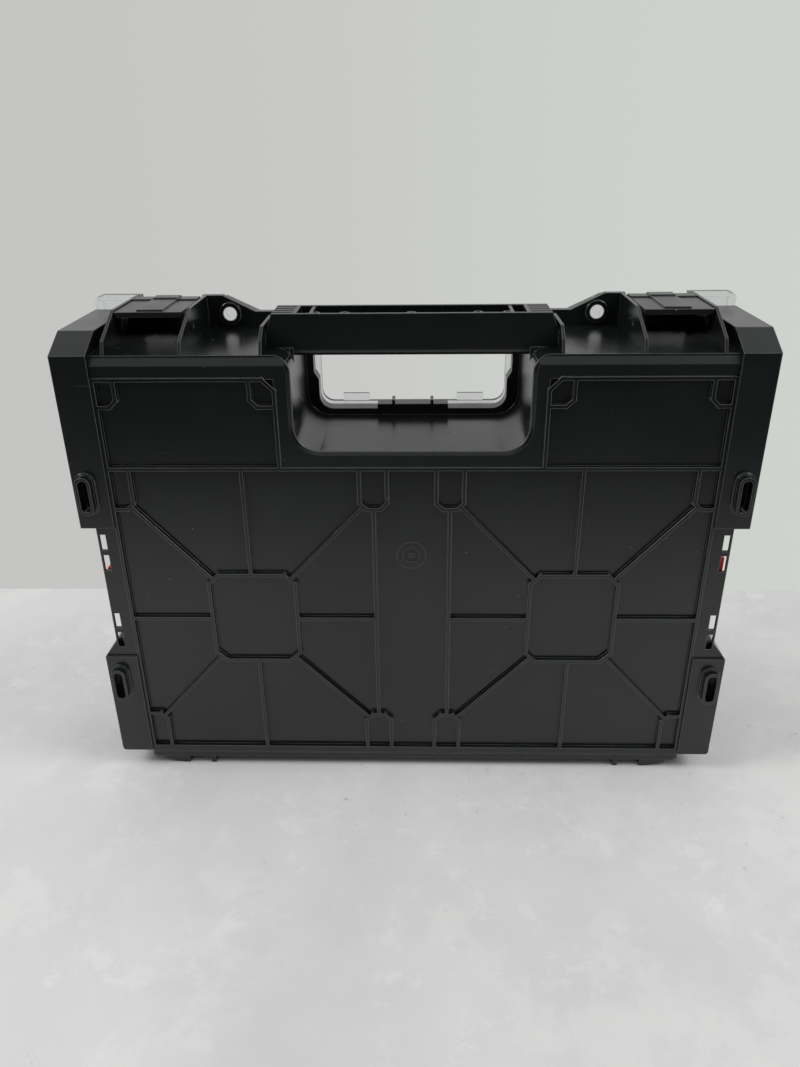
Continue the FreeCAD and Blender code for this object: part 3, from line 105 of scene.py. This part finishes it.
CAMERA_PLACE = (0.0082, -0.6230, 0.4987)
CAMERA_DOWN = 25.76
CAMERA_YAW = -1.72
CAMERA_ROLL = -0.68
LENS = 28.405
SENSOR = 36
NEAREST_SEEN = 0.01

# Numbers of a Mix node's colour sockets, which share their names with its other sockets

MIX_SHARE, MIX_FIRST, MIX_SECOND, MIX_RESULT = 0, 6, 7, 2


# Node helpers

class Tree:
    """A node tree, with short ways to add and wire nodes."""

    def __init__(self, tree, coordinate):
        self.nodes = tree.nodes
        self.links = tree.links
        self.place = self.add("ShaderNodeTexCoord").outputs[coordinate]

    def add(self, kind, inputs=None, **settings):
        node = self.nodes.new(kind)
        for key, value in settings.items():
            setattr(node, key, value)
        for key, value in (inputs or {}).items():
            self.feed(node.inputs[key], value)
        return node

    def feed(self, socket, value):
        """Wire an output to the socket, or give it a plain value."""
        if isinstance(value, bpy.types.NodeSocket):
            self.links.new(value, socket)
        else:
            socket.default_value = value

    def split(self):
        """The coordinate's own X, Y and Z."""
        return self.add("ShaderNodeSeparateXYZ", {"Vector": self.place}).outputs

    def ramp(self, value, low, high, start=0.0, end=1.0):
        """A smooth step: start below low, end above high."""
        node = self.add("ShaderNodeMapRange", {
            "Value": value, "From Min": low, "From Max": high, "To Min": start, "To Max": end},
            interpolation_type="SMOOTHSTEP")
        return node.outputs["Result"]

    def calc(self, operation, a, b):
        node = self.add("ShaderNodeMath", operation=operation)
        self.feed(node.inputs[0], a)
        self.feed(node.inputs[1], b)
        return node.outputs["Value"]

    def times(self, a, b):
        return self.calc("MULTIPLY", a, b)

    def either(self, a, b):
        """The stronger of two patterns."""
        return self.calc("MAXIMUM", a, b)

    def mix(self, share, a, b):
        node = self.add("ShaderNodeMix", data_type="RGBA")
        self.feed(node.inputs[MIX_SHARE], share)
        self.feed(node.inputs[MIX_FIRST], a)
        self.feed(node.inputs[MIX_SECOND], b)
        return node.outputs[MIX_RESULT]

    def cover(self, base, color, pattern, strength):
        """Lay a colour over the base where the pattern is."""
        return self.mix(self.times(pattern, strength), base, color)


class Paint(Tree):
    """A new material, patterned in the object's own metres."""

    SOCKETS = {"color": "Base Color", "rough": "Roughness", "normal": "Normal", "metal": "Metallic",
               "through": "Transmission Weight", "ior": "IOR", "gloss": "Specular IOR Level"}

    def __init__(self, name):
        self.material = bpy.data.materials.new(name)
        self.material.use_nodes = True
        super().__init__(self.material.node_tree, "Object")

    def set(self, **values):
        shader = self.nodes["Principled BSDF"]
        for key, value in values.items():
            self.feed(shader.inputs[self.SOCKETS[key]], value)

    def stretch(self, scale, spin=(0, 0, 0), move=(0, 0, 0)):
        node = self.add("ShaderNodeMapping", {"Vector": self.place, "Scale": scale,
                                              "Rotation": spin, "Location": move})
        return node.outputs["Vector"]

    def noise(self, scale, detail=4.0, roughness=0.5, vector=None):
        node = self.add("ShaderNodeTexNoise", {
            "Vector": vector or self.place, "Scale": scale, "Detail": detail, "Roughness": roughness})
        return node.outputs["Fac"]

    def bump(self, height, distance, strength=1.0, normal=None):
        node = self.add("ShaderNodeBump", {"Height": height, "Distance": distance, "Strength": strength})
        if normal:
            self.feed(node.inputs["Normal"], normal)
        return node.outputs["Normal"]

    def soft_edges(self, radius):
        return self.add("ShaderNodeBevel", {"Radius": radius}, samples=EDGE_RAYS).outputs["Normal"]

    def openness(self):
        """How open the surface lies: 1 in the open, and less in inner corners."""
        node = self.add("ShaderNodeAmbientOcclusion", {"Distance": CORNER_REACH}, samples=EDGE_RAYS)
        return node.outputs["AO"]

    def outer_edges(self, bent, openness):
        """Outer edges: open places where the bent normal leaves the face's own."""
        face = self.add("ShaderNodeNewGeometry").outputs["Normal"]
        same = self.add("ShaderNodeVectorMath", operation="DOT_PRODUCT")
        self.feed(same.inputs[0], bent)
        self.feed(same.inputs[1], face)
        turned = self.ramp(same.outputs["Value"], low=0.86, high=0.99, start=1.0, end=0.0)
        return self.times(turned, self.ramp(openness, low=0.45, high=0.75))

    def specks(self, scale, size, seed=0.0):
        """Sparse round specks: one where a random cell is picked, of differing strength."""
        cells = self.add("ShaderNodeTexVoronoi", {
            "Vector": self.stretch(scale=(1, 1, 1), move=(seed, seed, seed)), "Scale": scale})
        chance = self.add("ShaderNodeSeparateColor", {"Color": cells.outputs["Color"]}).outputs["Red"]
        picked = self.ramp(chance, low=0.72, high=0.98)
        core = size * SPECK_CORE_SHARE
        near = self.ramp(cells.outputs["Distance"], low=core, high=size, start=1.0, end=0.0)
        return self.times(picked, near)

    def scratches(self, scale, spin, low, high, move=(0, 0, 0)):
        """Thin broken lines: noise drawn out in one direction and cut off near its top."""
        fine = self.noise(scale=1.0, detail=2.0, vector=self.stretch(scale, spin, move))
        patches = self.ramp(self.noise(scale=9.0, detail=2.0), low=0.52, high=0.66)
        return self.times(self.ramp(fine, low, high), patches)


# Materials of the case

def moulded(name, clean, filmed, rough, edge):
    """Moulded polypropylene: a thin film, faint waviness, tight edges, dust and hairline scratches, with
    painted shade in inner corners and a painted highlight on outer edges.
    """
    t = Paint(name)
    film = t.ramp(t.noise(scale=7.0, detail=6.0, roughness=0.62), low=0.35, high=0.75)
    base = t.mix(film, clean, filmed)
    marks = t.either(
        t.scratches(scale=(14, 14, 900), spin=(0.4, 0.9, 0.2), low=0.735, high=0.78),
        t.scratches(scale=(700, 12, 12), spin=(0.2, 0.5, 1.1), low=0.74, high=0.79, move=(3, 1, 2)))
    base = t.cover(base, SCRATCH, marks, strength=0.5)
    bent = t.soft_edges(edge)
    openness = t.openness()
    # Painted shade: the colour is darkened in inner corners, where less of the surface lies open to the
    # light.
    base = t.mix(t.ramp(openness, low=0.35, high=0.9, start=0.6, end=0.0), base, INNER_CORNER_PAINTED_SHADE)
    # Painted highlight: outer edges in the open get a pale colour, standing in for the light their
    # rounding catches.
    base = t.cover(base, EDGE_PAINTED_HIGHLIGHT, t.outer_edges(bent, openness), strength=0.9)
    dust = t.either(t.specks(scale=48.0, size=0.03), t.specks(scale=120.0, size=0.055, seed=4.0))
    base = t.cover(base, DUST, dust, strength=0.9)
    smudge = t.noise(scale=16.0, detail=5.0, roughness=0.6)
    smudged = t.ramp(smudge, low=0.3, high=0.75, start=rough - SMUDGE_SMOOTHS, end=rough + SMUDGE_ROUGHENS)
    wavy = t.bump(t.noise(scale=9.0, detail=2.0), distance=0.0004, strength=0.5, normal=bent)
    grainy = t.bump(t.noise(scale=2200.0, detail=2.0), distance=0.00001, normal=wavy)
    dusty = t.calc("ADD", smudged, t.times(dust, DUST_ROUGHENS))
    t.set(color=base, rough=dusty, normal=grainy, gloss=0.6)
    return t.material


def clear_plastic():
    """Polished clear plastic: a light haze, hairline scratches and edges that look milky."""
    t = Paint("clear_plastic")
    haze = t.ramp(t.noise(scale=22.0, detail=5.0, roughness=0.6), low=0.4, high=0.8, start=0.01, end=0.05)
    marks = t.scratches(scale=(16, 16, 800), spin=(0.5, 0.8, 0.1), low=0.74, high=0.79)
    bent = t.soft_edges(LID_EDGE)
    edges = t.outer_edges(bent, t.openness())
    wavy = t.bump(t.noise(scale=14.0, detail=2.0), distance=0.0002, strength=0.5, normal=bent)
    t.set(color=LID_TINT, ior=1.49, normal=wavy,
          through=t.calc("SUBTRACT", 1.0, t.times(edges, CLEAR_EDGE_MILK)),
          rough=t.calc("ADD", haze, t.times(t.either(marks, edges), CLEAR_MARK_ROUGHENS)))
    return t.material


def red_plastic():
    t = Paint("red_plastic")
    base = t.mix(t.noise(scale=40.0, detail=5.0), SLIDE_DEEP, SLIDE_BRIGHT)
    base = t.cover(base, SLIDE_DUST, t.specks(scale=160.0, size=0.06), strength=0.5)
    rough = t.ramp(t.noise(scale=60.0), low=0.3, high=0.7, start=0.28, end=0.42)
    grainy = t.bump(t.noise(scale=2200.0, detail=2.0), distance=0.00003, strength=0.5,
                    normal=t.soft_edges(SLIDE_EDGE))
    t.set(color=base, rough=rough, normal=grainy)
    return t.material


def seal_rubber():
    t = Paint("seal_rubber")
    base = t.mix(t.noise(scale=90.0, detail=5.0), SEAL_DARK, SEAL_PALE)
    rough = t.ramp(t.noise(scale=120.0), low=0.3, high=0.7, start=0.6, end=0.8)
    grainy = t.bump(t.noise(scale=900.0), distance=0.00001, strength=0.6, normal=t.soft_edges(SEAL_EDGE))
    t.set(color=base, rough=rough, normal=grainy)
    return t.material


def pin_steel():
    """Steel drawn along the hinge's axis, which is X."""
    t = Paint("pin_steel")
    drawn = t.noise(scale=1.0, detail=3.0, vector=t.stretch(scale=(40, 3000, 3000)))
    rough = t.ramp(drawn, low=0.3, high=0.7, start=0.2, end=0.4)
    lined = t.bump(drawn, distance=0.00003, strength=0.6, normal=t.soft_edges(PIN_EDGE))
    t.set(color=t.mix(drawn, STEEL_DARK, STEEL_PALE), metal=1.0, rough=rough, normal=lined)
    return t.material


def dress(material, *starts):
    """Give the material to every node whose name starts with one of the words."""
    for name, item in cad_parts.items():
        if name.startswith(starts):
            for slot in item.material_slots:
                slot.material = material


def dress_case():
    shell = moulded("shell_plastic", SHELL_CLEAN, SHELL_FILMED, rough=0.22, edge=SHELL_EDGE)
    latch = moulded("latch_plastic", LATCH_CLEAN, LATCH_FILMED, rough=0.27, edge=LATCH_EDGE)
    cup = moulded("cup_plastic", CUP_CLEAN, CUP_FILMED, rough=0.38, edge=CUP_EDGE)
    dress(shell, "base_shell", "recess_wall", "hinge_foot", "handle", "side_bumper", "latch_frame",
          "lock_rail")
    dress(latch, "latch_left", "latch_right")
    # The lid's word is also the start of the seal's name, so the seal comes after it
    dress(clear_plastic(), "lid")
    dress(seal_rubber(), "lid_seal")
    dress(pin_steel(), "hinge_pin")
    dress(red_plastic(), "side_lock")
    dress(cup, "bin_")


# Studio

def floor_material():
    """Worn pale concrete; in front of the case it is dark to glossy rays, as the room is there."""
    t = Paint("studio_floor")
    clouds = t.ramp(t.noise(scale=3.5, detail=8.0, roughness=0.65), low=0.25, high=0.75)
    ground = t.mix(clouds, FLOOR_DARK, FLOOR_PALE)
    patches = t.ramp(t.noise(scale=9.0, detail=10.0, roughness=0.72), low=0.50, high=0.58)
    ground = t.cover(ground, FLOOR_PATCH, patches, strength=0.5)
    pores = t.times(t.ramp(t.noise(scale=60.0, detail=8.0, roughness=0.8), low=0.60, high=0.66),
                    t.ramp(t.noise(scale=5.0, detail=3.0), low=0.48, high=0.62))
    ground = t.cover(ground, FLOOR_PORE, pores, strength=0.7)
    scrapes = t.either(
        t.scratches(scale=(3, 240, 3), spin=(0, 0, 0.5), low=0.72, high=0.80),
        t.scratches(scale=(200, 4, 4), spin=(0, 0, 0.3), low=0.73, high=0.80, move=(5, 2, 0)))
    ground = t.cover(ground, FLOOR_SCRAPE, scrapes, strength=0.6)
    flakes = t.times(t.ramp(t.noise(scale=26.0, detail=9.0, roughness=0.78), low=0.55, high=0.60),
                     t.ramp(t.noise(scale=3.0, detail=4.0, roughness=0.6), low=0.42, high=0.58))
    ground = t.cover(ground, FLOOR_FLAKE, flakes, strength=0.3)
    in_front = t.ramp(t.split()["Y"], low=-0.90, high=-0.30, start=1.0, end=0.0)
    mirrored = t.add("ShaderNodeLightPath").outputs["Is Glossy Ray"]
    ground = t.cover(ground, FLOOR_MIRRORED, in_front, strength=mirrored)
    rough_ground = t.bump(t.noise(scale=60.0, detail=6.0), distance=0.0005, strength=0.3)
    t.set(color=ground, rough=0.5, normal=rough_ground)
    return t.material


def lay_floor():
    corners = [(-FLOOR_SIDE, FLOOR_FRONT, 0.0), (FLOOR_SIDE, FLOOR_FRONT, 0.0),
               (FLOOR_SIDE, FLOOR_BACK, 0.0), (-FLOOR_SIDE, FLOOR_BACK, 0.0)]
    mesh = bpy.data.meshes.new("floor")
    mesh.from_pydata(corners, [], [(0, 1, 2, 3)])
    mesh.materials.append(floor_material())
    floor = bpy.data.objects.new("studio_floor", mesh)
    scene.collection.objects.link(floor)


def softbox(name, place, aim, width, power):
    lamp = bpy.data.lights.new(name, "AREA")
    lamp.shape = "RECTANGLE"
    lamp.size = lamp.size_y = width
    lamp.energy = power
    item = bpy.data.objects.new(name, lamp)
    item.location = place
    item.rotation_euler = (Vector(aim) - Vector(place)).to_track_quat("-Z", "Y").to_euler()
    scene.collection.objects.link(item)


def light_room():
    """Light from above and behind, a dark room in front, and a pale backdrop for the camera, with painted
    shade on its left.
    """
    world = bpy.data.worlds.new("studio_world")
    scene.world = world
    world.use_nodes = True
    t = Tree(world.node_tree, "Generated")
    way = t.split()
    front = t.mix(t.ramp(way["Z"], low=0.15, high=0.75), FRONT_LOW, FRONT_HIGH)
    light = t.mix(t.ramp(way["Y"], low=-0.15, high=0.25), front, BACK_LIGHT)
    # Painted shade: the camera's backdrop darkens towards the left.
    backdrop = t.mix(t.ramp(way["X"], low=-0.45, high=0.45), BACKDROP_LEFT_SHADED, BACKDROP_RIGHT_LIT)
    seen = t.add("ShaderNodeLightPath").outputs["Is Camera Ray"]
    t.feed(t.nodes["Background"].inputs["Color"], t.mix(seen, light, backdrop))


def place_camera():
    camera = bpy.data.objects.new("camera", bpy.data.cameras.new("camera"))
    scene.collection.objects.link(camera)
    scene.camera = camera
    down, yaw, roll = (math.radians(angle) for angle in (CAMERA_DOWN, CAMERA_YAW, CAMERA_ROLL))
    forward = Vector((math.sin(yaw) * math.cos(down), math.cos(yaw) * math.cos(down), -math.sin(down)))
    level = Vector((math.cos(yaw), -math.sin(yaw), 0))
    rise = level.cross(forward)
    right = level * math.cos(roll) + rise * math.sin(roll)
    up = rise * math.cos(roll) - level * math.sin(roll)
    turn = Matrix((right, up, -forward)).transposed().to_4x4()
    camera.matrix_world = Matrix.Translation(CAMERA_PLACE) @ turn
    camera.data.sensor_width = SENSOR
    camera.data.lens = LENS
    camera.data.clip_start = NEAREST_SEEN


dress_case()
lay_floor()
softbox("right_softbox", place=(1.5, -0.45, 1.5), aim=(0.05, 0.1, 0.15), width=0.9, power=18)
softbox("left_softbox", place=(-1.5, -0.3, 1.4), aim=(0, 0.1, 0.15), width=0.8, power=19)
light_room()
place_camera()
